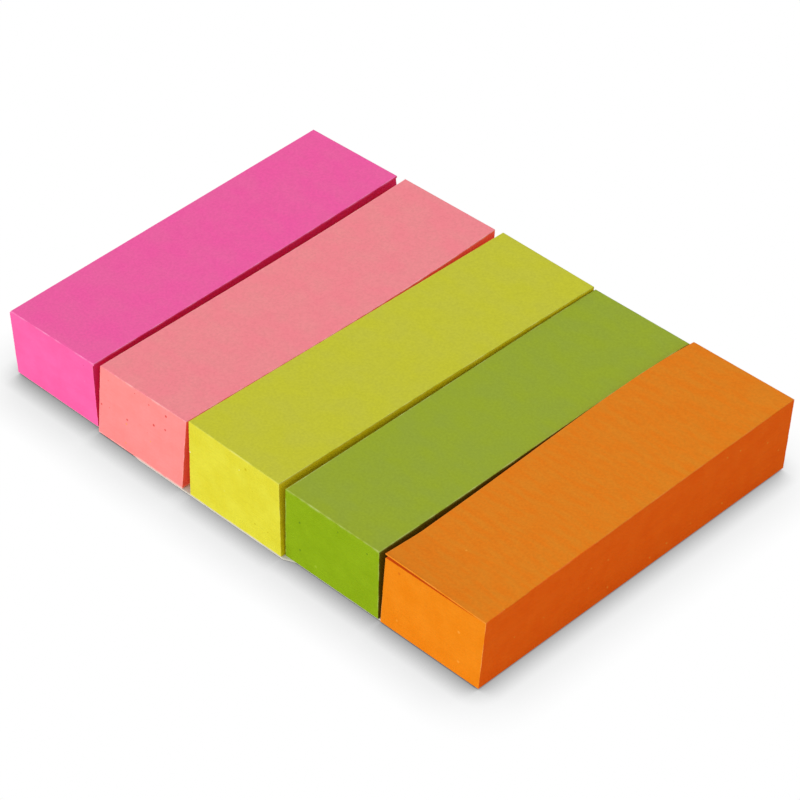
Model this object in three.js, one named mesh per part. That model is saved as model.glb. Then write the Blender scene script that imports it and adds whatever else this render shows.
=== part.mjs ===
// Page-marker sticky notes: five pads of narrow paper sheets, side by side on one shared backing card.
// Millimetres, +Z up. X runs along the row, Y along the sheets from their free end to their glued end.
// The origin is on the underside of the card, below the middle of the row.
import * as THREE from "three";

// Sheets and pads
const SHEET_LENGTH = 50;
const SHEET_WIDTH = 15;
const SHEET_THICKNESS = 0.1;
const SHEETS_PER_PAD = 100;
// How far one cut edge stands in or out of its neighbours, up to half of this each way
const EDGE_SCATTER = 0.03;

// Backing card, a little smaller than the five bases that stand on it
const CARD_THICKNESS = 0.25;
const CARD_INSET = 0.45;

// The pads from left to right. trim is what the guillotine took off or left on the width, and flare how much
// wider the sheets are at their glued end, where it cut askew. bulk is the thickness that a full pad gained
// or lost with its paper and the air in it, and glueBuild what its adhesive adds at the glued end, or what
// pressing the glue took off there. clearance is the narrowest gap to the pad on the left, setBack the base's
// place along Y and turn its angle in degrees. drift is how far the top sheet lies from the bottom one, and
// twist its turn. slipped are the loose sheets at the top, and how far they slid along X.
const PADS = [
  {
    name: "magenta",
    colour: 0xea5ea0,
    trim: -0.35,
    flare: 0,
    bulk: 0,
    glueBuild: 0.15,
    clearance: 0,
    setBack: 0.15,
    turn: 0.05,
    drift: { x: 0.05, y: -0.5 },
    twist: 1.05,
    slipped: { sheets: 3, x: 0.2 },
  },
  {
    name: "salmon",
    colour: 0xee868c,
    trim: -0.4,
    flare: 0.6,
    bulk: 0.1,
    glueBuild: 0,
    clearance: 0.6,
    setBack: -0.35,
    turn: 0.1,
    drift: { x: 0.6, y: 0.55 },
    twist: 0.65,
    slipped: { sheets: 0, x: 0 },
  },
  {
    name: "yellow",
    colour: 0xbec03c,
    trim: 0.15,
    flare: 0,
    bulk: 0.2,
    glueBuild: -0.05,
    clearance: 0.15,
    setBack: -0.35,
    turn: 0,
    drift: { x: 0.1, y: 0.7 },
    twist: -1.05,
    slipped: { sheets: 0, x: 0 },
  },
  {
    name: "green",
    colour: 0x93a635,
    trim: -0.25,
    flare: 0,
    bulk: 0.05,
    glueBuild: -0.2,
    clearance: 0.15,
    setBack: 0.15,
    turn: 0,
    drift: { x: 0.5, y: 0.1 },
    twist: -0.15,
    slipped: { sheets: 0, x: 0 },
  },
  {
    name: "orange",
    colour: 0xdc7c1e,
    trim: -0.05,
    flare: 0,
    bulk: 0,
    glueBuild: 0.45,
    clearance: 0.4,
    setBack: 0.05,
    turn: -0.1,
    drift: { x: 0.75, y: 0.25 },
    twist: 0.3,
    slipped: { sheets: 0, x: 0 },
  },
];
const CARD_COLOUR = 0xe9e6e0;

// The orange pad's top sheets, which have come up together at their free left corner
const LIFTED_PAD = "orange";
const LIFTED_SHEETS = 2;
const LIFT_HEIGHT = 0.5;
// How far the lift reaches from the corner, along the sheet and across it
const LIFT_LENGTH = 5.6;
const LIFT_WIDTH = 14;
// How quickly the lift falls away: 1 is a straight crease, more than 1 a sheet that curls up at its corner
const LIFT_CURL_ALONG = 1.1;
const LIFT_CURL_ACROSS = 1.2;
const LIFT_STEPS_ALONG = 6;
const LIFT_STEPS_ACROSS = 10;

// Paper and card are dull and hold no metal
const PAPER_ROUGHNESS = 0.85;

// Two fractions whose multiples spread evenly, so that no edge of the stack repeats its neighbour
const SPREAD_X = (Math.sqrt(5) - 1) / 2;
const SPREAD_Y = Math.SQRT2 - 1;

const degrees = THREE.MathUtils.degToRad;

// A value from -0.5 to 0.5 for the n-th sheet
function scatter(n, spread) {
  return (n * spread) % 1 - 0.5;
}

// How many of a pad's sheets still lie flat on each other as one block
function blockSheets(pad) {
  return pad.name === LIFTED_PAD ? SHEETS_PER_PAD - LIFTED_SHEETS : SHEETS_PER_PAD;
}

// The height of a pad's sheet edge n at a place along the sheet, 0 at its free end and 1 at its glued end
function levelAt(pad, n, along) {
  const full = SHEETS_PER_PAD * SHEET_THICKNESS + pad.bulk + along * pad.glueBuild;
  return CARD_THICKNESS + (full * n) / SHEETS_PER_PAD;
}

// Where the sheets at edge n of a pad lie: the middle of the sheet and its angle
function poseAt(pad, n) {
  const share = n / SHEETS_PER_PAD;
  const slid = n > SHEETS_PER_PAD - pad.slipped.sheets ? pad.slipped.x : 0;
  return {
    x: pad.drift.x * share + slid + EDGE_SCATTER * scatter(n, SPREAD_X),
    y: pad.setBack + pad.drift.y * share + EDGE_SCATTER * scatter(n, SPREAD_Y),
    angle: degrees(pad.turn + pad.twist * share),
  };
}

// How wide a pad's sheets are at a place along them
function widthAt(pad, along) {
  return SHEET_WIDTH + pad.trim + (pad.flare * along) / SHEET_LENGTH;
}

// A point of a sheet, from its place across and along the sheet measured from its free left corner
function placeOnSheet(pad, pose, across, along) {
  const width = widthAt(pad, 0);
  return new THREE.Vector2(across - width / 2, along - SHEET_LENGTH / 2)
    .rotateAround(new THREE.Vector2(), pose.angle)
    .add(new THREE.Vector2(pose.x, pose.y));
}

// The four corners of a pad's sheets at edge n, anticlockwise from the free left corner
function cornersAt(pad, n) {
  const pose = poseAt(pad, n);
  const places = [
    [0, 0],
    [widthAt(pad, 0), 0],
    [widthAt(pad, SHEET_LENGTH), SHEET_LENGTH],
    [0, SHEET_LENGTH],
  ];
  return places.map(([across, along]) => {
    const point = placeOnSheet(pad, pose, across, along);
    return new THREE.Vector3(point.x, point.y, levelAt(pad, n, along / SHEET_LENGTH));
  });
}

// A closed body from rings of corners that lie one above the other, the lowest first
function loftRings(rings) {
  const points = rings.flat();
  const corners = rings[0].length;
  const faces = [];
  for (let level = 0; level < rings.length - 1; level += 1) {
    for (let corner = 0; corner < corners; corner += 1) {
      const here = level * corners + corner;
      const beside = level * corners + ((corner + 1) % corners);
      faces.push([here, beside, beside + corners], [here, beside + corners, here + corners]);
    }
  }
  const top = (rings.length - 1) * corners;
  for (let corner = 1; corner < corners - 1; corner += 1) {
    faces.push([0, corner + 1, corner], [top, top + corner, top + corner + 1]);
  }
  return meshFromFaces(points, faces);
}

// A closed sheet from a grid of points on its underside, grid[across][along], and its thickness
function sheetFromGrid(grid, thickness) {
  const rows = grid[0].length;
  const under = grid.flat();
  const over = under.map((point) => point.clone().setZ(point.z + thickness));
  const index = (across, along) => across * rows + along;
  const faces = [];
  for (let across = 0; across < grid.length - 1; across += 1) {
    for (let along = 0; along < rows - 1; along += 1) {
      const cell = [
        index(across, along),
        index(across + 1, along),
        index(across + 1, along + 1),
        index(across, along + 1),
      ];
      const [a, b, c, d] = cell;
      const [e, f, g, h] = cell.map((corner) => corner + under.length);
      faces.push([a, c, b], [a, d, c], [e, f, g], [e, g, h]);
    }
  }
  const rim = [
    ...grid.slice(0, -1).map((_, across) => index(across, 0)),
    ...grid[0].slice(0, -1).map((_, along) => index(grid.length - 1, along)),
    ...grid.slice(1).map((_, across) => index(grid.length - 1 - across, rows - 1)),
    ...grid[0].slice(1).map((_, along) => index(0, rows - 1 - along)),
  ];
  rim.forEach((here, i) => {
    const next = rim[(i + 1) % rim.length];
    faces.push([here, next, next + under.length], [here, next + under.length, here + under.length]);
  });
  return meshFromFaces([...under, ...over], faces);
}

function meshFromFaces(points, faces) {
  const geometry = new THREE.BufferGeometry().setFromPoints(points);
  geometry.setIndex(faces.flat());
  geometry.computeVertexNormals();
  return geometry;
}

function padGeometry(pad) {
  const rings = [];
  for (let n = 0; n <= blockSheets(pad); n += 1) {
    rings.push(cornersAt(pad, n));
  }
  return loftRings(rings);
}

// How high the lifted sheets stand at a place across and along it, measured from its free left corner
function liftAt(across, along) {
  const shareAlong = Math.max(0, 1 - along / LIFT_LENGTH);
  const shareAcross = Math.max(0, 1 - across / LIFT_WIDTH);
  return LIFT_HEIGHT * shareAlong ** LIFT_CURL_ALONG * shareAcross ** LIFT_CURL_ACROSS;
}

// Places from 0 to the end of the lift in even steps, and then the far edge of the sheet
function stations(reach, steps, edge) {
  const even = Array.from({ length: steps + 1 }, (_, i) => (reach * i) / steps);
  return [...even.filter((place) => place < edge), edge];
}

function liftedSheetsGeometry(pad) {
  const seat = blockSheets(pad);
  const pose = poseAt(pad, seat);
  const acrossPlaces = stations(LIFT_WIDTH, LIFT_STEPS_ACROSS, widthAt(pad, 0));
  const alongPlaces = stations(LIFT_LENGTH, LIFT_STEPS_ALONG, SHEET_LENGTH);
  const grid = acrossPlaces.map((place, column) =>
    alongPlaces.map((along) => {
      const across = column === acrossPlaces.length - 1 ? widthAt(pad, along) : place;
      const point = placeOnSheet(pad, pose, across, along);
      const rest = levelAt(pad, seat, along / SHEET_LENGTH);
      return new THREE.Vector3(point.x, point.y, rest + liftAt(across, along));
    }),
  );
  return sheetFromGrid(grid, LIFTED_SHEETS * SHEET_THICKNESS);
}

// How far right one pad has to stand so that its narrowest gap to the pad on its left is its clearance
function placeBeside(pad, left) {
  if (!left) {
    return 0;
  }
  let place = -Infinity;
  for (let n = 0; n <= SHEETS_PER_PAD; n += 1) {
    const [, leftFree, leftGlued] = cornersAt(left.pad, n);
    const [free, , , glued] = cornersAt(pad, n);
    place = Math.max(place, leftFree.x - free.x, leftGlued.x - glued.x);
  }
  return left.x + place + pad.clearance;
}

function paper(colour) {
  return new THREE.MeshStandardMaterial({ color: colour, roughness: PAPER_ROUGHNESS, metalness: 0 });
}

function namedMesh(name, geometry, material) {
  const mesh = new THREE.Mesh(geometry, material);
  mesh.name = name;
  return mesh;
}

// The card reaches under the bases of all the pads, less its inset
function backingCard(placed) {
  const bases = new THREE.Box2();
  for (const { pad, x } of placed) {
    cornersAt(pad, 0).forEach((corner) => bases.expandByPoint(new THREE.Vector2(corner.x + x, corner.y)));
  }
  bases.expandByScalar(-CARD_INSET);
  const { x: width, y: length } = bases.getSize(new THREE.Vector2());
  const middle = bases.getCenter(new THREE.Vector2());
  const geometry = new THREE.BoxGeometry(width, length, CARD_THICKNESS);
  geometry.translate(middle.x, middle.y, CARD_THICKNESS / 2);
  return namedMesh("backing_card", geometry, paper(CARD_COLOUR));
}

function stickyNotes() {
  const row = new THREE.Group();
  const placed = [];
  for (const pad of PADS) {
    placed.push({ pad, x: placeBeside(pad, placed.at(-1)) });
  }
  row.add(backingCard(placed));
  for (const { pad, x } of placed) {
    const block = namedMesh(`${pad.name}_pad`, padGeometry(pad), paper(pad.colour));
    block.position.x = x;
    row.add(block);
    if (pad.name === LIFTED_PAD) {
      const sheets = namedMesh(`${pad.name}_top_sheets`, liftedSheetsGeometry(pad), paper(pad.colour));
      sheets.position.x = x;
      row.add(sheets);
    }
  }
  const middle = new THREE.Box3().setFromObject(row).getCenter(new THREE.Vector3());
  row.position.set(-middle.x, -middle.y, 0);
  return row;
}

export default stickyNotes();
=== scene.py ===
"""Looks for a row of sticky-note pads: five stacks of dyed paper strips on one backing card."""

import logging
import math
from dataclasses import dataclass, field, fields, replace
from enum import Enum
from functools import partialmethod
from typing import Mapping, Sequence

import bpy
import numpy as np
from mathutils import Matrix, Vector


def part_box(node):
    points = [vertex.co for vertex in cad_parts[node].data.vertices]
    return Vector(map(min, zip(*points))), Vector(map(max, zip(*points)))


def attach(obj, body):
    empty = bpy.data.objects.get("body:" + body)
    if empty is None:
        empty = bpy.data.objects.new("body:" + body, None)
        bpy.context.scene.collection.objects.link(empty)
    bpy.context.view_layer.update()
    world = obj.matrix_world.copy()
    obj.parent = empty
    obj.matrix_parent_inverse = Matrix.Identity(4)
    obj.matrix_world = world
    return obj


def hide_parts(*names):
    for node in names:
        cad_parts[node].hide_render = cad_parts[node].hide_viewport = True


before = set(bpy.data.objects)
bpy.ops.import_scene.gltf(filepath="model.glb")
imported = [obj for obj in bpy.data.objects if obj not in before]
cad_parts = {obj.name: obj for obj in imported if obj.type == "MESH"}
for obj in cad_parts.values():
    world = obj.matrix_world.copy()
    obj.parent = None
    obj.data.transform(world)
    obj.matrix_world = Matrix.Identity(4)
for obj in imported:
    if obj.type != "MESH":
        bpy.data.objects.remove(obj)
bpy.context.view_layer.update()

BODY = "root"
MM = 0.001
SHEETS_PER_PAD = 100

log = logging.getLogger("sticky_notes")


def linear(hex_colour: str) -> tuple[float, float, float, float]:
    """Turns an sRGB colour into the linear values that Blender works with.

    Args:
        hex_colour: Six hex digits, as in "ff8040".

    Returns:
        Red, green, blue and an alpha of 1.
    """
    values = []
    for start in (0, 2, 4):
        share = int(hex_colour[start:start + 2], 16) / 255
        values.append(share / 12.92 if share <= 0.04045 else ((share + 0.055) / 1.055) ** 2.4)
    return (values[0], values[1], values[2], 1.0)


def add_node(
    tree: bpy.types.NodeTree, kind: str, inputs: Mapping | None = None, **settings: object
) -> bpy.types.Node:
    """Adds one node to a tree, sets it and links it.

    Args:
        tree: The tree that gets the node.
        kind: Blender's name for the node's type.
        inputs: Input name or number to a value, or to the output that feeds it.
        **settings: Properties of the node, set before its inputs.

    Returns:
        The new node.
    """
    node = tree.nodes.new(kind)
    for name, value in settings.items():
        setattr(node, name, value)
    for key, value in (inputs or {}).items():
        source = value.socket if isinstance(value, Value) else value
        if isinstance(source, bpy.types.NodeSocket):
            tree.links.new(source, node.inputs[key])
        else:
            node.inputs[key].default_value = source
    return node


class Value:
    """A number that a node tree works out. It takes plain arithmetic, and each sign adds one node.

    A comparison gives 1 where it holds and 0 where it doesn't.
    """

    def __init__(self, socket: bpy.types.NodeSocket) -> None:
        """Keeps the output that gives the number."""
        self.socket = socket

    def work(self, operation: str, *others: "Value | float") -> "Value":
        """Adds one step of arithmetic.

        Args:
            operation: Blender's name for it.
            *others: What it works on besides this value.

        Returns:
            The result.
        """
        operands = dict(enumerate((self, *others)))
        node = add_node(self.socket.id_data, "ShaderNodeMath", operands, operation=operation)
        return Value(node.outputs[0])

    def __rsub__(self, number: float) -> "Value":
        """Takes this value away from a number."""
        node = add_node(self.socket.id_data, "ShaderNodeMath", {0: number, 1: self}, operation="SUBTRACT")
        return Value(node.outputs[0])

    __add__ = partialmethod(work, "ADD")
    __sub__ = partialmethod(work, "SUBTRACT")
    __mul__ = partialmethod(work, "MULTIPLY")
    __truediv__ = partialmethod(work, "DIVIDE")
    __mod__ = partialmethod(work, "MODULO")
    __pow__ = partialmethod(work, "POWER")
    __lt__ = partialmethod(work, "LESS_THAN")
    __gt__ = partialmethod(work, "GREATER_THAN")
    __abs__ = partialmethod(work, "ABSOLUTE")
    __round__ = partialmethod(work, "ROUND")
    __floor__ = partialmethod(work, "FLOOR")
    at_least = partialmethod(work, "MAXIMUM")
    at_most = partialmethod(work, "MINIMUM")


def values(node: bpy.types.Node) -> list[Value]:
    """Gives a node's outputs as values."""
    return [Value(output) for output in node.outputs]


@dataclass(frozen=True)
class Paper:
    """Dyed, uncoated writing paper: a matt felt of fibres that is a little cloudy and never quite even."""

    name: str
    colour: str
    cloud_colour: str
    speck_colour: str
    fleck_colour: str
    highlight_and_wear_colour: str
    roughness: float = 0.9
    ior: float = 1.5
    gloss: float = 0.1
    # Painted light: the long edges shine by emission, which brightens the narrow gaps between pads
    glow: float = 0.0
    # Clouds are the uneven felt that shows against the light, fibres the fine mottle of single fibres.
    # Real fibres are 0.02 mm thick, too fine to show, so they are drawn at this size. Clouds are longer
    # across the sheet by the grain, which is the way that the paper ran through its machine.
    cloud_size: float = 2.4 * MM
    grain: float = 1.0
    fibre_size: float = 0.3 * MM
    fibre_depth: float = 0.006 * MM
    fibre_contrast: float = 0.05
    # The values of the noise at which clouds and fibres begin and are full
    cloud_span: tuple[float, float] = (0.35, 0.65)
    fibre_span: tuple[float, float] = (0.3, 0.7)
    # Painted highlight: edges are paled in patches of this size, where their noise is above the start, for
    # light caught along the top edges; the same paling gives the pale foot
    wear: float = 0.5
    wear_patch: float = 1.6 * MM
    wear_start: float = 0.38
    wear_contrast: float = 7.0
    # Specks are bits of undissolved dye and undyed fibre, one or none in each patch of this size
    speck_spacing: float = 5.0 * MM
    speck_size: float = 0.11 * MM
    speck_share: float = 0.0
    # The largest speck and the soft rim of a speck, in speck sizes
    speck_largest: float = 1.5
    speck_rim: float = 0.5
    # Which two of x, y and z run along the surface that the specks are on
    plane: tuple[int, int] = (0, 1)

    def build(self) -> bpy.types.Material:
        """Builds the material.

        Returns:
            The finished material.
        """
        material = bpy.data.materials.new(self.name)
        material.use_nodes = True
        tree = material.node_tree
        tree.nodes.clear()
        place = add_node(tree, "ShaderNodeTexCoord").outputs["Object"]
        colour, height = self.surface(tree, place)
        colour = self.speckle(tree, place, colour)
        colour = self.paint_highlight_and_wear(tree, place, colour)
        bump = add_node(
            tree, "ShaderNodeBump",
            {"Height": height, "Distance": self.fibre_depth, "Strength": 1.0},
        )
        shader = add_node(
            tree, "ShaderNodeBsdfPrincipled",
            {
                "Base Color": colour,
                "Roughness": self.roughness,
                "IOR": self.ior,
                "Specular IOR Level": self.gloss,
                "Emission Color": colour,
                # Painted light: this emission makes the long edges shine into the gaps
                "Emission Strength": self.glow,
                "Normal": bump.outputs["Normal"],
            },
        )
        add_node(tree, "ShaderNodeOutputMaterial", {"Surface": shader.outputs["BSDF"]})
        return material

    def surface(
        self, tree: bpy.types.NodeTree, place: bpy.types.NodeSocket
    ) -> tuple[bpy.types.NodeSocket, Value]:
        """Adds the clouds and fibres of the paper's flat side.

        Args:
            tree: The tree that gets them.
            place: Where on the object the surface is.

        Returns:
            The surface's colour and height.
        """
        stretched = add_node(
            tree, "ShaderNodeVectorMath", {0: place, 1: (1 / self.grain, 1.0, 1.0)}, operation="MULTIPLY"
        ).outputs[0]
        cloud, fibre = (
            values(add_node(
                tree, "ShaderNodeTexNoise", {"Vector": where, "Scale": 1 / size, "Detail": detail}
            ))[0]
            for where, size, detail in ((stretched, self.cloud_size, 3.0), (place, self.fibre_size, 2.0))
        )
        return self.mottle(tree, cloud, fibre), fibre

    def mottle(self, tree: bpy.types.NodeTree, cloud: Value, fibre: Value) -> bpy.types.NodeSocket:
        """Colours the paper by its clouds and fibres.

        Args:
            tree: The tree that gets the nodes.
            cloud: How dense the felt is, from 0 to 1.
            fibre: The height of the fibres, from 0 to 1.

        Returns:
            The colour.
        """
        contrast = self.fibre_contrast
        # Both are noise, which keeps near its middle, so a narrow span of it is spread over the whole range
        share, value = (
            add_node(tree, "ShaderNodeMapRange", dict(enumerate((noise, *span, *result)))).outputs[0]
            for noise, span, result in (
                (cloud, self.cloud_span, (0.0, 1.0)),
                (fibre, self.fibre_span, (1 - contrast, 1 + contrast)),
            )
        )
        colours = {0: share, 6: linear(self.colour), 7: linear(self.cloud_colour)}
        clouded = add_node(tree, "ShaderNodeMix", colours, data_type="RGBA").outputs[2]
        return add_node(tree, "ShaderNodeHueSaturation", {"Color": clouded, "Value": value}).outputs[0]

    def speckle(
        self, tree: bpy.types.NodeTree, place: bpy.types.NodeSocket, colour: bpy.types.NodeSocket
    ) -> bpy.types.NodeSocket:
        """Adds the few dark specks of undissolved dye and the pale flecks of undyed fibre.

        Args:
            tree: The tree that gets them.
            place: Where on the object the surface is.
            colour: The colour below them.

        Returns:
            The colour, specks and all.
        """
        if not self.speck_share:
            return colour
        apart = add_node(tree, "ShaderNodeSeparateXYZ", {"Vector": place}).outputs
        flat = add_node(tree, "ShaderNodeCombineXYZ", {n: apart[axis] for n, axis in enumerate(self.plane)})
        cells = add_node(
            tree, "ShaderNodeTexVoronoi",
            {"Vector": flat.outputs[0], "Scale": 1 / self.speck_spacing},
            voronoi_dimensions="2D",
        )
        size, kind, _ = values(add_node(tree, "ShaderNodeSeparateColor", {"Color": cells.outputs["Color"]}))
        radius = self.speck_size / self.speck_spacing
        inside = size * (self.speck_largest * radius) - Value(cells.outputs["Distance"])
        spot = (inside / (self.speck_rim * radius)).at_least(0.0).at_most(1.0)
        for is_kind, speck in (
            (kind < self.speck_share / 2, self.speck_colour),
            (kind > 1 - self.speck_share / 2, self.fleck_colour),
        ):
            colours = {0: spot * is_kind, 6: colour, 7: linear(speck)}
            colour = add_node(tree, "ShaderNodeMix", colours, data_type="RGBA").outputs[2]
        return colour

    def paint_highlight_and_wear(
        self, tree: bpy.types.NodeTree, place: bpy.types.NodeSocket, colour: bpy.types.NodeSocket
    ) -> bpy.types.NodeSocket:
        """Paints a pale highlight on the rim of the top sheets, unevenly, and pales the foot of some pads.

        Args:
            tree: The tree that gets the nodes.
            place: Where on the object the surface is.
            colour: The colour below the painted highlight.

        Returns:
            The colour, painted highlight and all.
        """
        highlight_and_wear_share = Value(add_node(tree, "ShaderNodeAttribute", attribute_name="wear").outputs["Fac"])
        noise = {"Vector": place, "Scale": 1 / self.wear_patch, "Detail": 2.0}
        patchy = values(add_node(tree, "ShaderNodeTexNoise", noise))[0]
        uneven = (patchy - self.wear_start).at_least(0.0) * (self.wear_contrast * self.wear)
        colours = {0: highlight_and_wear_share * uneven, 6: colour, 7: linear(self.highlight_and_wear_colour)}
        return add_node(tree, "ShaderNodeMix", colours, data_type="RGBA").outputs[2]


@dataclass(frozen=True)
class CutPaper(Paper):
    """The cut edges of a paper stack: fine lines along the sheets and faint marks down from the knife."""

    line_length: float = 6.0 * MM
    knife_mark_size: float = 0.5 * MM
    # How far a knife mark changes from one sheet to the next
    mark_drift: float = 0.02
    fibre_depth: float = 0.012 * MM
    # How much of the relief is the sheets' lines, the knife's marks and the felt
    relief: tuple[float, float, float] = (0.5, 0.15, 0.35)

    def surface(
        self, tree: bpy.types.NodeTree, place: bpy.types.NodeSocket
    ) -> tuple[bpy.types.NodeSocket, Value]:
        """Adds the lines of the sheets and the marks of the knife.

        Args:
            tree: The tree that gets them.
            place: Where on the object the surface is.

        Returns:
            The surface's colour and height.
        """
        x, y, _ = values(add_node(tree, "ShaderNodeSeparateXYZ", {"Vector": place}))
        sheet = Value(add_node(tree, "ShaderNodeAttribute", attribute_name="sheet").outputs["Fac"])
        along, down = (
            add_node(tree, "ShaderNodeCombineXYZ", dict(enumerate((x / size, y / size, level)))).outputs[0]
            for size, level in (
                (self.line_length, sheet), (self.knife_mark_size, sheet * self.mark_drift),
            )
        )
        line, mark, fibre, cloud = (
            values(add_node(
                tree, "ShaderNodeTexNoise", {"Vector": where, "Scale": 1 / size, "Detail": detail}
            ))[0]
            for where, size, detail in (
                (along, 1.0, 2.0),
                (down, 1.0, 1.0),
                (place, self.fibre_size, 2.0),
                (place, self.cloud_size, 3.0),
            )
        )
        line_share, mark_share, felt_share = self.relief
        height = line * line_share + mark * mark_share + fibre * felt_share
        return self.mottle(tree, cloud, height), height


@dataclass(frozen=True)
class PadFinish:
    """The three surfaces of one pad: the flat side of its sheets, their cut ends and their long cut edges,
    whose colours are painted deeper and darker than the ends' as shade.
    """

    face: Paper
    end: CutPaper
    side: CutPaper

    def build(self) -> tuple[bpy.types.Material, bpy.types.Material, bpy.types.Material]:
        """Builds the three materials, for the flat side, the ends and the long edges."""
        return self.face.build(), self.end.build(), self.side.build()


class Colour(Enum):
    """The dyes of the five pads."""

    MAGENTA = "magenta"
    SALMON = "salmon"
    YELLOW = "yellow"
    GREEN = "green"
    ORANGE = "orange"


def dyed(
    colour: Colour, face: Sequence[str], end: Sequence[str], side: Sequence[str], specks: float,
    face_clouds: float = 2.4 * MM, grain: float = 1.5, glow: float = 0.0,
) -> PadFinish:
    """Describes the paper of one pad.

    Args:
        colour: The pad's dye.
        face: The flat side's colour, its clouds, and the colour of its painted rim highlight.
        end: The cut ends' colour, clouds, dark specks, pale flecks and painted rim highlight.
        side: The long cut edges' colour, painted deeper and darker than the ends' as shade, their clouds and
            painted rim highlight.
        specks: The share of patches on the cut ends that hold a speck.
        face_clouds: How wide the clouds on the flat side are, in metres.
        grain: How many times longer they are across the sheet.
        glow: How strongly the long edges shine by emission, painted light that brightens the gaps.

    Returns:
        The pad's finish.
    """
    name = colour.value
    return PadFinish(
        face=Paper(
            f"{name}_uncoated_paper", face[0], face[1], end[2], end[3], face[2], speck_share=0.06,
            speck_spacing=6 * MM, cloud_size=face_clouds, grain=grain,
        ),
        end=CutPaper(
            f"{name}_guillotined_ends", end[0], end[1], end[2], end[3], end[4], speck_share=specks,
            speck_spacing=2.2 * MM, speck_size=0.15 * MM, plane=(0, 2),
        ),
        # Painted shade: the long edges take deeper, darker colours than the ends
        side=CutPaper(
            f"{name}_guillotined_sides", side[0], side[1], side[0], end[3], side[2], speck_share=0.9,
            speck_spacing=2.4 * MM, speck_size=0.1 * MM, plane=(1, 2), glow=glow,
        ),
    )


# Painted shade on the long edges (side): deeper, darker colours than the ends', strongest on the green pad,
# whose edge faces the shaded gap by the orange pad. The salmon and yellow long edges also shine by emission,
# painted light in their gaps.
FINISHES = {
    Colour.MAGENTA: dyed(
        Colour.MAGENTA,
        face=("fc61ab", "f968aa", "ff94c6"),
        end=("fd64a8", "ff6aae", "e0408a", "ff86ba", "ff96c8"),
        side=("dc3070", "e03674", "f878a8"),
        specks=0.2,
    ),
    Colour.SALMON: dyed(
        Colour.SALMON,
        face=("ff8d98", "fb9399", "ffb4b4"),
        end=("fd8e8b", "ff9391", "e25a56", "ff9c64", "ffb6b0"),
        side=("fb594b", "fc6050", "ff9c88"),
        specks=0.85,
        glow=0.06,
    ),
    Colour.YELLOW: dyed(
        Colour.YELLOW,
        face=("cece37", "cccc40", "dede68"),
        end=("dcd434", "e0da3e", "cabc20", "eeeaa8", "e8e060"),
        side=("e1cb0a", "e2ce14", "e8dc50"),
        specks=0.4,
        glow=0.05,
    ),
    Colour.GREEN: dyed(
        Colour.GREEN,
        face=("9fb231", "9caf3a", "b8c86c"),
        end=("89a80b", "8ead10", "6c8a14", "a0ba2c", "acc25c"),
        side=("5e5a08", "62600a", "a0b040"),
        specks=0.55,
    ),
    Colour.ORANGE: dyed(
        Colour.ORANGE,
        face=("ed8118", "e88820", "ffa850"),
        end=("ea8408", "ee8a12", "dc720c", "f49a30", "ffae58"),
        side=("f46402", "f66a08", "ff9a50"),
        specks=0.3,
        face_clouds=0.8 * MM,
        grain=4.0,
    ),
}


@dataclass
class StackShape:
    """How one stack of sheets lies, in metres and radians, as the modifier's inputs take it."""

    width: float
    flare: float
    length: float
    low: float
    low_rise: float
    height: float
    rise: float
    base: Vector
    angle: float
    drift: Vector
    twist: float
    slip: float = 0.0
    lift: float = 0.0
    lift_length: float = 5.6 * MM
    lift_width: float = 14.0 * MM
    curl: float = 0.8
    steps_across: int = 14

    @classmethod
    def from_node(cls, name: str, sheets: int, slip_sheets: int = 0) -> "StackShape":
        """Reads how a pad lies from its solid in the frame.

        Args:
            name: The solid's name.
            sheets: How many sheets it stands for.
            slip_sheets: How many sheets at its top have slid off the pad's line.

        Returns:
            The stack's shape.
        """
        edges = corner_edges(name)
        near_left, near_right, far_right, far_left = edges
        width = float(np.linalg.norm((near_right[0] - near_left[0])[:2]))
        far_width = float(np.linalg.norm((far_right[0] - far_left[0])[:2]))
        reach = (sheets - 1 - slip_sheets) / sheets
        base = [edge[0] for edge in edges]
        upper = [at_share(edge, reach) for edge in edges]
        top = [edge[-1] for edge in edges]
        base_angle, upper_angle = heading(base), heading(upper)
        centre = middle(base, width)
        drift = (middle(upper, width) - centre) / reach
        return cls(
            width=width,
            flare=far_width - width,
            length=float(np.linalg.norm((base[3] - base[0])[:2])),
            low=float(near_left[0][2]),
            low_rise=float(far_left[0][2] - near_left[0][2]),
            height=float(near_right[-1][2] - near_right[0][2]),
            rise=float((far_right[-1][2] - far_right[0][2]) - (near_right[-1][2] - near_right[0][2])),
            base=Vector(centre),
            angle=base_angle,
            drift=Vector(drift),
            twist=(upper_angle - base_angle) / reach,
            slip=float((middle(top, width) - centre - drift)[0]) if slip_sheets else 0.0,
        )


def corner_edges(name: str) -> list[np.ndarray]:
    """Reads the four upright corner edges of a solid.

    Args:
        name: The solid's name in the frame.

    Returns:
        Four arrays of points from the lowest to the highest, anticlockwise from the near left corner.
    """
    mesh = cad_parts[name].data
    points = np.array([v.co for v in mesh.vertices], float)
    points = np.unique(np.round(points, 8), axis=0)
    centre = (points.min(0) + points.max(0)) / 2
    edges = []
    for across, along in ((-1, -1), (1, -1), (1, 1), (-1, 1)):
        own = (np.sign(points[:, 0] - centre[0]) == across) & (np.sign(points[:, 1] - centre[1]) == along)
        edge = points[own]
        edges.append(edge[np.argsort(edge[:, 2])])
    return edges


def at_share(edge: np.ndarray, share: float) -> np.ndarray:
    """Gives the point of an edge at a share of the way up it."""
    return edge[round(share * (len(edge) - 1))]


def heading(corners: Sequence[np.ndarray]) -> float:
    """Gives the angle of a sheet from its near edge, in radians."""
    run = corners[1] - corners[0]
    return math.atan2(run[1], run[0])


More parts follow.
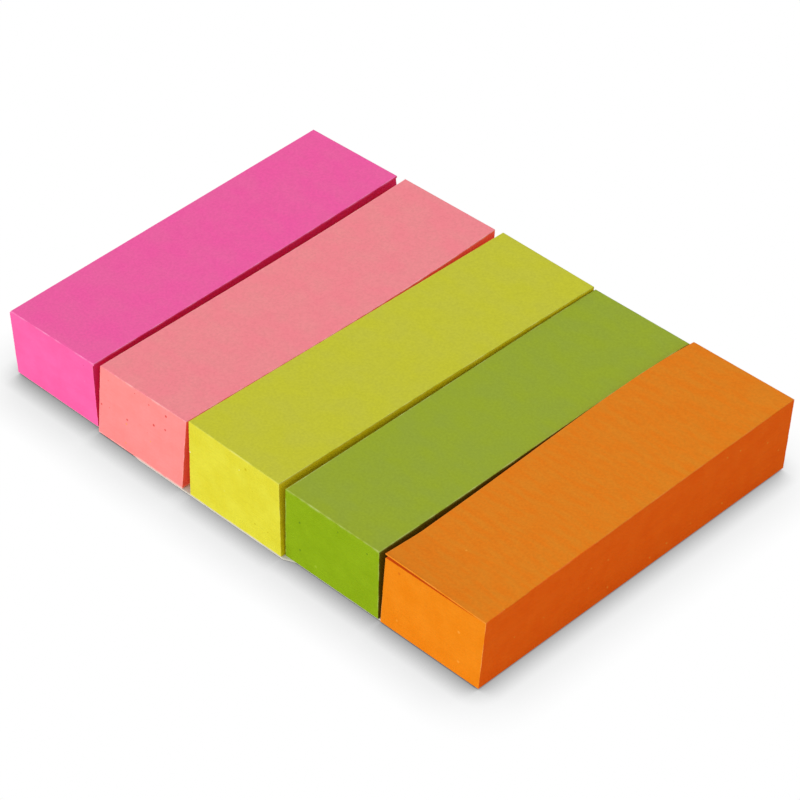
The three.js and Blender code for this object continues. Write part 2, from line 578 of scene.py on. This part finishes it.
def middle(corners: Sequence[np.ndarray], width: float) -> np.ndarray:
    """Gives the middle of a sheet, half its near edge's width away from its left edge.

    Args:
        corners: The sheet's corners, anticlockwise from the near left one.
        width: The width of its near edge.

    Returns:
        The point.
    """
    angle = heading(corners)
    across = np.array([math.cos(angle), math.sin(angle), 0.0])
    return (corners[0] + corners[3]) / 2 + across * width / 2


class SheetStackTree:
    """The Geometry Nodes tree that builds a stack of sheets as one closed skin.

    Two rings of the skin stand for each sheet: one where it meets the sheet below, a little set in, and
    one at the middle of its edge. Every sheet lies a little differently, by a fixed seed.
    """

    SIZES = (
        "Width", "Flare", "Length", "Low", "Low Rise", "Height", "Rise", "Base X", "Base Y", "Angle",
        "Drift X", "Drift Y", "Twist", "Slip", "Lift", "Lift Length", "Lift Width", "Curl", "Scatter",
        "Wander", "Groove", "Fray", "Rim", "Wave", "Crown", "Bow Left", "Bow Right", "Bow Foot",
        "Bow Power", "Bow Peak", "Top Wear", "Foot Wear",
    )
    COUNTS = ("Sheets", "Slip Sheets", "Steps Across", "Steps Along", "Seed")
    MATERIALS = ("Face", "End", "Side")
    # A point this near to a side of the plain box, in box lengths, is on that side
    TOUCH = 0.001
    # How long one bump of a frayed edge is, and how far apart sheets, seeds and bends are in their noise
    FRAY_LENGTH = 0.9 * MM
    SHEET_STEP = 3.7
    SEED_STEP = 7.31
    BENDS = 5.0
    # A wave of the flat side is this much longer than a bump of its edge
    WAVE_STRETCH = (0.07, 0.07, 1.0)
    # The first row and column of a flat side are twice the rim wide, on both of its sides
    RIM_MARGINS = 4.0
    # How steeply the lifted corner curls along the sheets
    CURL_ALONG = 1.1
    # The painted highlight reaches this many rings down from the top, and the pale foot this many up from the
    # foot
    TOP_RINGS = 6.0
    FOOT_RINGS = 3.5
    # How pale the four upright corner edges are
    CORNER_WEAR = 0.9
    # The normal of a flat side points at least this much up or down
    FLAT = 0.8

    def __init__(self) -> None:
        """Builds the tree."""
        self.tree = bpy.data.node_groups.new("sheet_stack", "GeometryNodeTree")
        face = self.tree.interface
        face.new_socket("Geometry", in_out="OUTPUT", socket_type="NodeSocketGeometry")
        for kind, names in (("Float", self.SIZES), ("Int", self.COUNTS), ("Material", self.MATERIALS)):
            for name in names:
                face.new_socket(name, in_out="INPUT", socket_type=f"NodeSocket{kind}")
        outputs = add_node(self.tree, "NodeGroupInput").outputs
        self.given = {name: Value(outputs[name]) for name in self.SIZES + self.COUNTS + self.MATERIALS}
        box = self.add_box()
        self.find_place()
        self.roughen()
        self.lay_sheets()
        self.shape_rim()
        self.bend_sides()
        self.finish(self.move(self.mark(box)))

    def add_box(self) -> bpy.types.NodeSocket:
        """Adds the plain box skin, one unit each way, with a ring for each groove and each crest."""
        self.rings = self.given["Sheets"] * 2.0
        counts = {
            "Size": (1.0, 1.0, 1.0),
            "Vertices X": self.given["Steps Across"] + 1.0,
            "Vertices Y": self.given["Steps Along"] + 1.0,
            "Vertices Z": self.rings + 1.0,
        }
        return add_node(self.tree, "GeometryNodeMeshCube", counts).outputs["Mesh"]

    def find_place(self) -> None:
        """Works out which ring, sheet and wall a point is on, and how far along, across and up it is.

        u, v and share run from 0 to 1 across the sheets, along them and up the stack. On the walls, on is
        1, and out is -1 or 1 for the side that the wall faces.
        """
        place = add_node(self.tree, "GeometryNodeInputPosition").outputs[0]
        x, y, z = values(add_node(self.tree, "ShaderNodeSeparateXYZ", {"Vector": place}))
        self.u, self.v = x + 0.5, y + 0.5
        self.across, self.along = self.u * self.given["Width"], self.v * self.given["Length"]
        self.ring = round((z + 0.5) * self.rings)
        self.share = self.ring / self.rings
        self.sheet = math.floor(self.ring / 2.0).at_most(self.given["Sheets"] - 1.0)
        self.to_top = self.rings - self.ring
        self.is_top = self.to_top < 0.5
        is_right, is_far = (part > 1 - self.TOUCH for part in (self.u, self.v))
        is_left, is_near = (part < self.TOUCH for part in (self.u, self.v))
        self.out_x, self.out_y = is_right - is_left, is_far - is_near
        self.on_x, self.on_y = is_right + is_left, is_far + is_near

    def roughen(self) -> None:
        """Works out how each sheet's edge frays, and how the flat side waves."""
        level = self.sheet * self.SHEET_STEP + self.given["Seed"] * self.SEED_STEP
        place = (self.across / self.FRAY_LENGTH, self.along / self.FRAY_LENGTH, level)
        where = add_node(self.tree, "ShaderNodeCombineXYZ", dict(enumerate(place))).outputs[0]
        broad = add_node(
            self.tree, "ShaderNodeVectorMath", {0: where, 1: self.WAVE_STRETCH}, operation="MULTIPLY"
        ).outputs[0]
        fray, wave = (
            values(add_node(
                self.tree, "ShaderNodeTexNoise", {"Vector": at, "Scale": 1.0, "Detail": detail}
            ))[0]
            for at, detail in ((where, 2.0), (broad, 1.0))
        )
        self.fray = (fray - 0.5) * self.given["Fray"]
        self.wave = (wave - 1.0) * self.given["Wave"] * self.is_top

    def lay_sheets(self) -> None:
        """Works out how each sheet lies: its drift, twist, scatter and slip."""
        given = self.given
        own = add_node(
            self.tree, "FunctionNodeRandomValue",
            {"Min": (-1.0, -1.0, 0.0), "Max": (1.0, 1.0, 0.0), "ID": self.sheet, "Seed": given["Seed"]},
            data_type="FLOAT_VECTOR",
        ).outputs[0]
        bend = add_node(
            self.tree, "ShaderNodeTexNoise",
            {"W": self.share * self.BENDS + given["Seed"] * self.SEED_STEP, "Scale": 1.0, "Detail": 2.0},
            noise_dimensions="1D",
        ).outputs[1]
        own_parts, bend_parts = (
            values(add_node(self.tree, "ShaderNodeSeparateXYZ", {"Vector": vector})) for vector in (own, bend)
        )
        # The stack bends to and fro only between its lowest and highest sheets, most of all halfway up
        between = self.share * (1.0 - self.share) * 4.0
        self.x, self.y = (
            given[f"Base {axis}"] + self.share * given[f"Drift {axis}"]
            + (off * given["Scatter"] + (bent - 0.5) * given["Wander"] * between)
            for axis, off, bent in zip("XY", own_parts, bend_parts)
        )
        slips = self.sheet > given["Sheets"] - given["Slip Sheets"] - 0.5
        self.x = self.x + slips * given["Slip"]
        self.angle = given["Angle"] + self.share * given["Twist"]

    def shape_rim(self) -> None:
        """Sets the grooves in, and gives the flat side a narrow first row round its rim."""
        given = self.given
        in_groove = 1.0 - self.ring % 2.0
        inset = in_groove * given["Groove"] * (1.0 - self.is_top) + self.is_top * given["Rim"]
        margins = given["Rim"] * self.RIM_MARGINS
        sheet = []
        for part, size, steps, out in (
            (self.u, given["Width"], given["Steps Across"], self.out_x),
            (self.v, given["Length"], given["Steps Along"], self.out_y),
        ):
            # The first and last steps are the rim, and the others share what lies between
            even = ((round(part * steps) - 1.0) / (steps - 2.0)).at_most(1.0).at_least(0.0)
            full = (even - 0.5) * (size - margins) + out * margins * 0.5
            sheet.append(full - out * inset + out * self.fray)
        self.sheet_x, self.sheet_y = sheet

    def bend_sides(self) -> None:
        """Widens the sheets towards their glued end, and bows the long edges of the upper ones."""
        given, u, v = self.given, self.u, self.v
        bow = v ** given["Bow Power"] * (1.0 - v) / given["Bow Peak"]
        self.bow_share = (1.0 - given["Bow Foot"]) * self.share + given["Bow Foot"]
        sides = (1.0 - u) * given["Bow Left"] + u * given["Bow Right"]
        self.sheet_x = self.sheet_x + given["Flare"] * v * u + sides * (bow * self.bow_share)

    def mark(self, mesh: bpy.types.NodeSocket) -> bpy.types.NodeSocket:
        """Notes on each point how pale it is painted, by the highlight along the top edges, the pale foot and
        the pale corners, and which sheet it is on, for the paper to read.

        Args:
            mesh: The plain box skin, since a moved point has lost its place.

        Returns:
            The skin with its notes.
        """
        wall = self.on_x.at_least(self.on_y)
        # Painted highlight: the top rings of the walls are paled, for light caught along the top edges
        top_highlight_share = (1.0 - self.to_top / self.TOP_RINGS).at_least(0.0) * wall * self.given["Top Wear"]
        worn_foot = (self.ring < self.FOOT_RINGS) * self.given["Foot Wear"]
        worn_corner = self.on_x * self.on_y * self.CORNER_WEAR
        wear = top_highlight_share.at_least(worn_foot.at_least(worn_corner))
        for name, value in (("wear", wear), ("sheet", self.ring / 2.0)):
            mesh = add_node(
                self.tree, "GeometryNodeStoreNamedAttribute",
                {"Geometry": mesh, "Name": name, "Value": value},
                data_type="FLOAT", domain="POINT",
            ).outputs[0]
        return mesh

    def move(self, box: bpy.types.NodeSocket) -> bpy.types.NodeSocket:
        """Puts every point of the box where its sheet lies.

        Args:
            box: The plain box skin.

        Returns:
            The shaped skin.
        """
        given, v = self.given, self.v
        run = (1.0 - self.along / given["Lift Length"]).at_least(0.0)
        reach = (1.0 - self.across / given["Lift Width"]).at_least(0.0)
        lifted = run ** self.CURL_ALONG * reach ** given["Curl"] * given["Lift"]
        low = given["Low"] + given["Low Rise"] * v
        up = (given["Height"] + given["Rise"] * v) * self.share
        arched = v * (1.0 - v) * 4.0 * self.bow_share * given["Crown"]
        place = (self.sheet_x, self.sheet_y, low + up + arched + lifted + self.wave)
        sheet = add_node(self.tree, "ShaderNodeCombineXYZ", dict(enumerate(place)))
        turned = add_node(
            self.tree, "ShaderNodeVectorRotate", {"Vector": sheet.outputs[0], "Angle": self.angle},
            rotation_type="Z_AXIS",
        )
        shift = add_node(self.tree, "ShaderNodeCombineXYZ", {0: self.x, 1: self.y})
        placed = add_node(self.tree, "ShaderNodeVectorMath", {0: turned.outputs[0], 1: shift.outputs[0]})
        moved = {"Geometry": box, "Position": placed.outputs[0]}
        return add_node(self.tree, "GeometryNodeSetPosition", moved).outputs[0]

    def finish(self, mesh: bpy.types.NodeSocket) -> None:
        """Gives each wall its material and ends the tree.

        Args:
            mesh: The shaped skin.
        """
        normal = add_node(self.tree, "GeometryNodeInputNormal").outputs[0]
        parts = values(add_node(self.tree, "ShaderNodeSeparateXYZ", {"Vector": normal}))
        steep_x, steep_y, steep_z = (abs(part) for part in parts)
        walls = {"Side": None, "End": steep_y > steep_x, "Face": steep_z > self.FLAT}
        shaded = {"Geometry": mesh, "Selection": walls["Face"], "Shade Smooth": True}
        mesh = add_node(self.tree, "GeometryNodeSetShadeSmooth", shaded).outputs[0]
        mesh = add_node(self.tree, "GeometryNodeRealizeInstances", {"Geometry": mesh}).outputs[0]
        for material, wall in walls.items():
            inputs = {"Geometry": mesh, "Material": self.given[material]}
            if wall:
                inputs["Selection"] = wall
            mesh = add_node(self.tree, "GeometryNodeSetMaterial", inputs).outputs[0]
        add_node(self.tree, "NodeGroupOutput", {"Geometry": mesh})

    def apply(self, name: str, inputs: Mapping[str, object]) -> bpy.types.Object:
        """Builds one stack and turns it into a plain mesh.

        Args:
            name: The new piece's name.
            inputs: The tree's inputs by name.

        Returns:
            The new object, with no modifier left on it.
        """
        holder = bpy.data.objects.new(name, bpy.data.meshes.new(name))
        bpy.context.scene.collection.objects.link(holder)
        modifier = holder.modifiers.new("stack", "NODES")
        modifier.node_group = self.tree
        identifiers = {
            item.name: item.identifier
            for item in self.tree.interface.items_tree
            if item.item_type == "SOCKET" and item.in_out == "INPUT"
        }
        for key in self.SIZES:
            modifier[identifiers[key]] = float(inputs[key])
        for key in self.COUNTS + self.MATERIALS:
            modifier[identifiers[key]] = inputs[key]
        graph = bpy.context.evaluated_depsgraph_get()
        mesh = bpy.data.meshes.new_from_object(holder.evaluated_get(graph))
        holder.modifiers.remove(modifier)
        holder.data = mesh
        mesh.name = name
        return holder


@dataclass
class Pad:
    """One pad of sticky notes, or the loose sheets at the top of one."""

    name: str
    node: str
    colour: Colour
    slot: str
    sheets: int = SHEETS_PER_PAD
    slip_sheets: int = 0
    seed: int = 0
    # How far one sheet lies off the next, and how far the whole stack bends to and fro
    scatter: float = 0.008 * MM
    wander: float = 0.08 * MM
    groove: float = 0.012 * MM
    fray: float = 0.012 * MM
    rim: float = 0.06 * MM
    wave: float = 0.03 * MM
    # How much thicker the pad is at the middle of its length, where air lies between the sheets
    crown: float = 0.0
    # How far its top's long edges bow to the right near the middle of their length
    bow_left: float = 0.0
    bow_right: float = 0.0
    # The share of the bow and of the extra thickness that the lowest sheet has already
    bow_foot: float = 0.0
    # The bow is v ** power * (1 - v) along the sheet, so a higher power brings it nearer to the glued end
    bow_power: float = 1.5
    # How strong the painted highlight along the edges of the top sheets is, and how pale the lowest sheets by
    # the card are
    top_wear: float = 1.0
    foot_wear: float = 0.0
    steps_along: int = 42
    # The colour and clouds of its top where loose sheets lie over it: painted shade, darker and redder, for
    # the shade under the sheets
    covered: tuple[str, str] | None = None

    def shape(self) -> StackShape:
        """Reads the pad's shape from the frame."""
        return StackShape.from_node(self.node, self.sheets, self.slip_sheets)

    def build(self, tree: SheetStackTree, finish: PadFinish) -> bpy.types.Object:
        """Builds and dresses the pad.

        Args:
            tree: The tree that builds stacks.
            finish: The pad's paper.

        Returns:
            The finished piece.
        """
        shape = self.shape()
        # Painted shade: the top takes a darker, redder colour for the shade under the loose sheets
        if self.covered:
            colour, clouds = self.covered
            face = replace(
                finish.face, name=f"{finish.face.name}_covered", colour=colour, cloud_colour=clouds
            )
            finish = replace(finish, face=face)
        face, end, side = finish.build()
        # The sheets are this much smaller, so that none of them leaves the solid's outline
        slack = 2 * (self.scatter + self.fray)
        inputs = {
            item.name.replace("_", " ").title(): getattr(source, item.name)
            for source in (shape, self) for item in fields(source)
        }
        inputs |= {
            "Width": shape.width - slack,
            "Length": shape.length - slack,
            "Base X": shape.base.x,
            "Base Y": shape.base.y,
            "Drift X": shape.drift.x,
            "Drift Y": shape.drift.y,
            "Bow Peak": (self.bow_power / (self.bow_power + 1)) ** self.bow_power / (self.bow_power + 1),
            "Face": face,
            "End": end,
            "Side": side,
        }
        piece = tree.apply(self.name, inputs)
        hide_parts(self.node)
        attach(piece, BODY)
        return piece


@dataclass
class LooseSheets(Pad):
    """The sheets at the top of a pad that have come up together at their free left corner."""

    pad: str = ""
    pad_sheets: int = SHEETS_PER_PAD
    # They lie flat on the pad past this share of their length
    flat_from: float = 0.9
    steps_along: int = 130
    bow_foot: float = 1.0

    def shape(self) -> StackShape:
        """Reads the sheets' seat from the pad below them, and their lift from their own solid.

        Returns:
            The shape of the lifted sheets.
        """
        seat = StackShape.from_node(self.pad, self.pad_sheets)
        angle = seat.angle + seat.twist
        points = np.array([v.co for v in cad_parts[self.node].data.vertices], float)
        turn = np.array([[math.cos(angle), math.sin(angle)], [-math.sin(angle), math.cos(angle)]])
        flat = points[:, :2] @ turn.T
        flat -= flat.min(0)
        across, along = (np.unique(np.round(flat[:, axis], 6)) for axis in (0, 1))
        rest = points[flat[:, 1] > self.flat_from * along[-1], 2]
        thickness = rest.max() - rest.min()
        lifted = points[:, 2].max() - (seat.low + seat.height + thickness)
        return replace(
            seat,
            low=seat.low + seat.height,
            low_rise=seat.low_rise + seat.rise,
            height=thickness,
            rise=0.0,
            base=seat.base + seat.drift,
            angle=angle,
            drift=Vector((0, 0, 0)),
            twist=0.0,
            lift=float(lifted),
            lift_length=float(along[-2]),
            lift_width=float(across[-2]),
            steps_across=60,
        )


@dataclass
class BackingCard:
    """The thin pale card that carries the pads, a little smaller than their bases."""

    name: str = "card"
    node: str = "backing_card"
    slot: str = "card"
    # Its near edge isn't quite straight: how far it lies in, by the share of the way from the left. It
    # shows as a pale line below the salmon and the yellow pad, whose free ends it reaches.
    near_edge: tuple[tuple[float, float], ...] = (
        (0.0, 0.2 * MM),
        (0.23, 0.2 * MM),
        (0.29, -0.46 * MM),
        (0.61, -0.46 * MM),
        (0.63, 0.2 * MM),
        (1.0, 0.2 * MM),
    )
    inset: float = 0.05 * MM
    # Its cut edge is pressed round by the knife
    edge_radius: float = 0.06 * MM

    def build(self) -> bpy.types.Object:
        """Builds and dresses the card.

        Returns:
            The finished piece.
        """
        low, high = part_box(self.node)
        points = []
        for height, inset in (
            (low.z, self.edge_radius), (low.z + self.edge_radius, 0), (high.z - self.edge_radius, 0),
            (high.z, self.edge_radius),
        ):
            points += [(x, y, height) for x, y in self.outline(low, high, inset)]
        corners = len(points) // 4
        faces = [tuple(reversed(range(corners))), tuple(range(3 * corners, 4 * corners))]
        for here in range(3 * corners):
            beside = here + 1 if (here + 1) % corners else here + 1 - corners
            faces.append((here, beside, beside + corners, here + corners))
        mesh = bpy.data.meshes.new(self.name)
        mesh.from_pydata(points, [], faces)
        mesh.materials.append(self.finish().build())
        piece = bpy.data.objects.new(self.name, mesh)
        bpy.context.scene.collection.objects.link(piece)
        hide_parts(self.node)
        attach(piece, BODY)
        return piece

    def outline(self, low: Vector, high: Vector, inset: float) -> list[tuple[float, float]]:
        """Lays out the card's edge.

        Args:
            low: The lowest corner of the solid that the card replaces.
            high: Its highest corner.
            inset: How far inside the card's outline the edge lies.

        Returns:
            Its points, anticlockwise from the near left corner.
        """
        left, right = low.x + self.inset + inset, high.x - self.inset - inset
        far = high.y - self.inset - inset
        near = [(left + (right - left) * share, low.y + depth + inset) for share, depth in self.near_edge]
        return near + [(right, far), (left, far)]

    def finish(self) -> Paper:
        """Gives the card's finish, uncoated grey-white board."""
        return Paper(
            "uncoated_board", "d8d4cc", "cec9be", "a89c88", "e6e0d4", "ddd6ca", wear=0.0, speck_share=0.2,
            speck_spacing=3.0 * MM,
        )


@dataclass
class Studio:
    """A white floor, an even dome of light and one large soft light from the front left."""

    floor_size: float = 3.0
    # The dome and the light together bring an upright white wall at the front to 1
    dome: float = 0.69
    key_strength: float = 1.37
    key_direction: tuple[float, float, float] = (-0.3, -0.87, 0.39)
    key_angle: float = 40.0
    floor_bounce: float = 0.8
    # How far the soft shadow and the dark line of contact reach, and how dark they are at full cover
    shadow_reach: float = 8.0 * MM
    shadow_depth: float = 0.42
    # The shadow leans away from the key light, so that it is darker in front of the row than behind it
    shadow_lean: tuple[float, float, float] = (0.0, 0.24, 1.0)
    contact_reach: float = 2.8 * MM
    contact_depth: float = 0.63

    def build(self) -> None:
        """Builds the floor and the lights."""
        self.build_world()
        self.build_key()
        self.build_floor()

    def build_world(self) -> None:
        """Builds the dome of light, which is white where the camera or a reflection sees it."""
        world = bpy.data.worlds.new("studio")
        bpy.context.scene.world = world
        world.use_nodes = True
        tree = world.node_tree
        tree.nodes.clear()
        dome = add_node(tree, "ShaderNodeBackground", {"Strength": self.dome})
        white = add_node(tree, "ShaderNodeBackground", {"Strength": 1.0})
        for node in (dome, white):
            node.inputs["Color"].default_value = (1.0, 1.0, 1.0, 1.0)
        mix = add_node(
            tree, "ShaderNodeMixShader",
            {0: self.seen(tree), 1: dome.outputs[0], 2: white.outputs[0]},
        )
        add_node(tree, "ShaderNodeOutputWorld", {"Surface": mix.outputs[0]})

    def seen(self, tree: bpy.types.NodeTree) -> Value:
        """Adds the test for a ray that shows the background: from the camera, or by gloss or glass.

        Args:
            tree: The tree that gets the nodes.

        Returns:
            1 for such a ray, and 0 for others.
        """
        rays = add_node(tree, "ShaderNodeLightPath").outputs
        kinds = ("Camera", "Glossy", "Transmission")
        camera, gloss, glass = (Value(rays[f"Is {kind} Ray"]) for kind in kinds)
        return camera.at_least(gloss.at_least(glass))

    def build_key(self) -> None:
        """Builds the soft light from the front left."""
        light = bpy.data.lights.new("key", "SUN")
        light.energy = self.key_strength
        light.angle = math.radians(self.key_angle)
        lamp = bpy.data.objects.new("key", light)
        bpy.context.scene.collection.objects.link(lamp)
        lamp.rotation_euler = Vector(self.key_direction).to_track_quat("Z", "Y").to_euler()

    def shade(self, tree: bpy.types.NodeTree) -> Value:
        """Adds the soft shadow that the row casts on the white floor, darkest where they touch.

        Args:
            tree: The tree that gets the nodes.

        Returns:
            1 on open floor, falling towards the row.
        """
        lean = Vector(self.shadow_lean).normalized()
        normal = add_node(tree, "ShaderNodeCombineXYZ", dict(enumerate(lean))).outputs[0]
        wide, close = (
            Value(add_node(
                tree, "ShaderNodeAmbientOcclusion", {"Distance": reach, "Normal": normal},
                samples=16, only_local=False,
            ).outputs["AO"])
            for reach in (self.shadow_reach, self.contact_reach)
        )
        return 1.0 - ((1.0 - wide) * self.shadow_depth + (1.0 - close) * self.contact_depth)

    def build_floor(self) -> None:
        """Builds the floor, which is just white to the camera where nothing shades it."""
        half = self.floor_size / 2
        mesh = bpy.data.meshes.new("floor")
        corners = [(-half, -half, 0), (half, -half, 0), (half, half, 0), (-half, half, 0)]
        mesh.from_pydata(corners, [], [(0, 1, 2, 3)])
        floor = bpy.data.objects.new("floor", mesh)
        bpy.context.scene.collection.objects.link(floor)
        material = bpy.data.materials.new("white_sweep")
        material.use_nodes = True
        tree = material.node_tree
        tree.nodes.clear()
        lit = add_node(tree, "ShaderNodeBsdfDiffuse", {"Color": [self.floor_bounce] * 3 + [1.0]})
        shown = add_node(tree, "ShaderNodeEmission", {"Color": self.shade(tree), "Strength": 1.0})
        mix = add_node(
            tree, "ShaderNodeMixShader", {0: self.seen(tree), 1: lit.outputs[0], 2: shown.outputs[0]}
        )
        add_node(tree, "ShaderNodeOutputMaterial", {"Surface": mix.outputs[0]})
        mesh.materials.append(material)


@dataclass
class PhotoCamera:
    """A camera at the photograph's viewing angle."""

    azimuth: float = 46.13
    elevation: float = 39.75
    roll: float = -1.37
    distance: float = 375.8 * MM
    target: tuple[float, float, float] = (2.09 * MM, -0.86 * MM, 5.0 * MM)
    lens: float = 146.5
    sensor: float = 36.0

    def build(self) -> None:
        """Builds the camera and makes it the scene's."""
        turn, tilt, roll = (math.radians(a) for a in (self.azimuth, self.elevation, self.roll))
        back = Vector((math.sin(turn) * math.cos(tilt), -math.cos(turn) * math.cos(tilt), math.sin(tilt)))
        level = Vector((math.cos(turn), math.sin(turn), 0))
        upright = back.cross(level)
        right = level * math.cos(roll) + upright * math.sin(roll)
        up = upright * math.cos(roll) - level * math.sin(roll)
        data = bpy.data.cameras.new("camera")
        data.lens = self.lens
        data.sensor_width = self.sensor
        data.clip_start = 0.01
        data.clip_end = 10.0
        camera = bpy.data.objects.new("camera", data)
        bpy.context.scene.collection.objects.link(camera)
        place = Matrix((right, up, back)).transposed().to_4x4()
        place.translation = Vector(self.target) + back * self.distance
        camera.matrix_world = place
        bpy.context.scene.camera = camera


@dataclass
class StickyNotes:
    """The whole row: its pads, the loose sheets and the card."""

    pads: Sequence[Pad] = field(default_factory=lambda: (
        Pad(
            "magenta_sheets", "magenta_pad", Colour.MAGENTA, "magenta_paper", slip_sheets=3, seed=1,
            bow_right=0.2 * MM,
        ),
        Pad(
            "salmon_sheets", "salmon_pad", Colour.SALMON, "salmon_paper", seed=2,
            bow_left=0.3 * MM, bow_right=0.58 * MM, foot_wear=1.5,
        ),
        Pad(
            "yellow_sheets", "yellow_pad", Colour.YELLOW, "yellow_paper", seed=3,
            bow_right=-0.1 * MM, foot_wear=1.5,
        ),
        Pad(
            "green_sheets", "green_pad", Colour.GREEN, "green_paper", seed=4,
            bow_left=-0.1 * MM, bow_right=-0.27 * MM, bow_power=3.0, rim=0.09 * MM,
        ),
        Pad(
            "orange_sheets", "orange_pad", Colour.ORANGE, "orange_paper", sheets=98, seed=5, rim=0.04 * MM,
            wave=0, crown=0.12 * MM, bow_left=-0.6 * MM, bow_power=3.0, top_wear=0.0,
            # The top below the loose sheets is painted darker and redder, as their shade
            covered=("d4540a", "d85a0c"),
        ),
        LooseSheets(
            "orange_loose_sheets", "orange_top_sheets", Colour.ORANGE, "orange_paper", sheets=2, seed=6,
            pad="orange_pad", pad_sheets=98, wander=0, rim=0.05 * MM, crown=0.12 * MM,
            bow_left=-0.6 * MM, bow_power=3.0, top_wear=0.35,
        ),
    ))
    card: BackingCard = field(default_factory=BackingCard)

    def build(self) -> list[bpy.types.Object]:
        """Builds every piece.

        Returns:
            The finished pieces, the pads from left to right and then the card.
        """
        tree = SheetStackTree()
        pieces = [pad.build(tree, FINISHES[pad.colour]) for pad in self.pads]
        return pieces + [self.card.build()]


def main() -> None:
    """Builds the stage, the camera and the row, and logs each piece's face count."""
    logging.basicConfig(level=logging.INFO, format="%(name)s: %(message)s")
    bpy.context.scene.view_settings.view_transform = "Standard"
    PhotoCamera().build()
    Studio().build()
    for piece in StickyNotes().build():
        log.info("%s: %d faces", piece.name, len(piece.data.polygons))


if __name__ == "__main__":
    main()
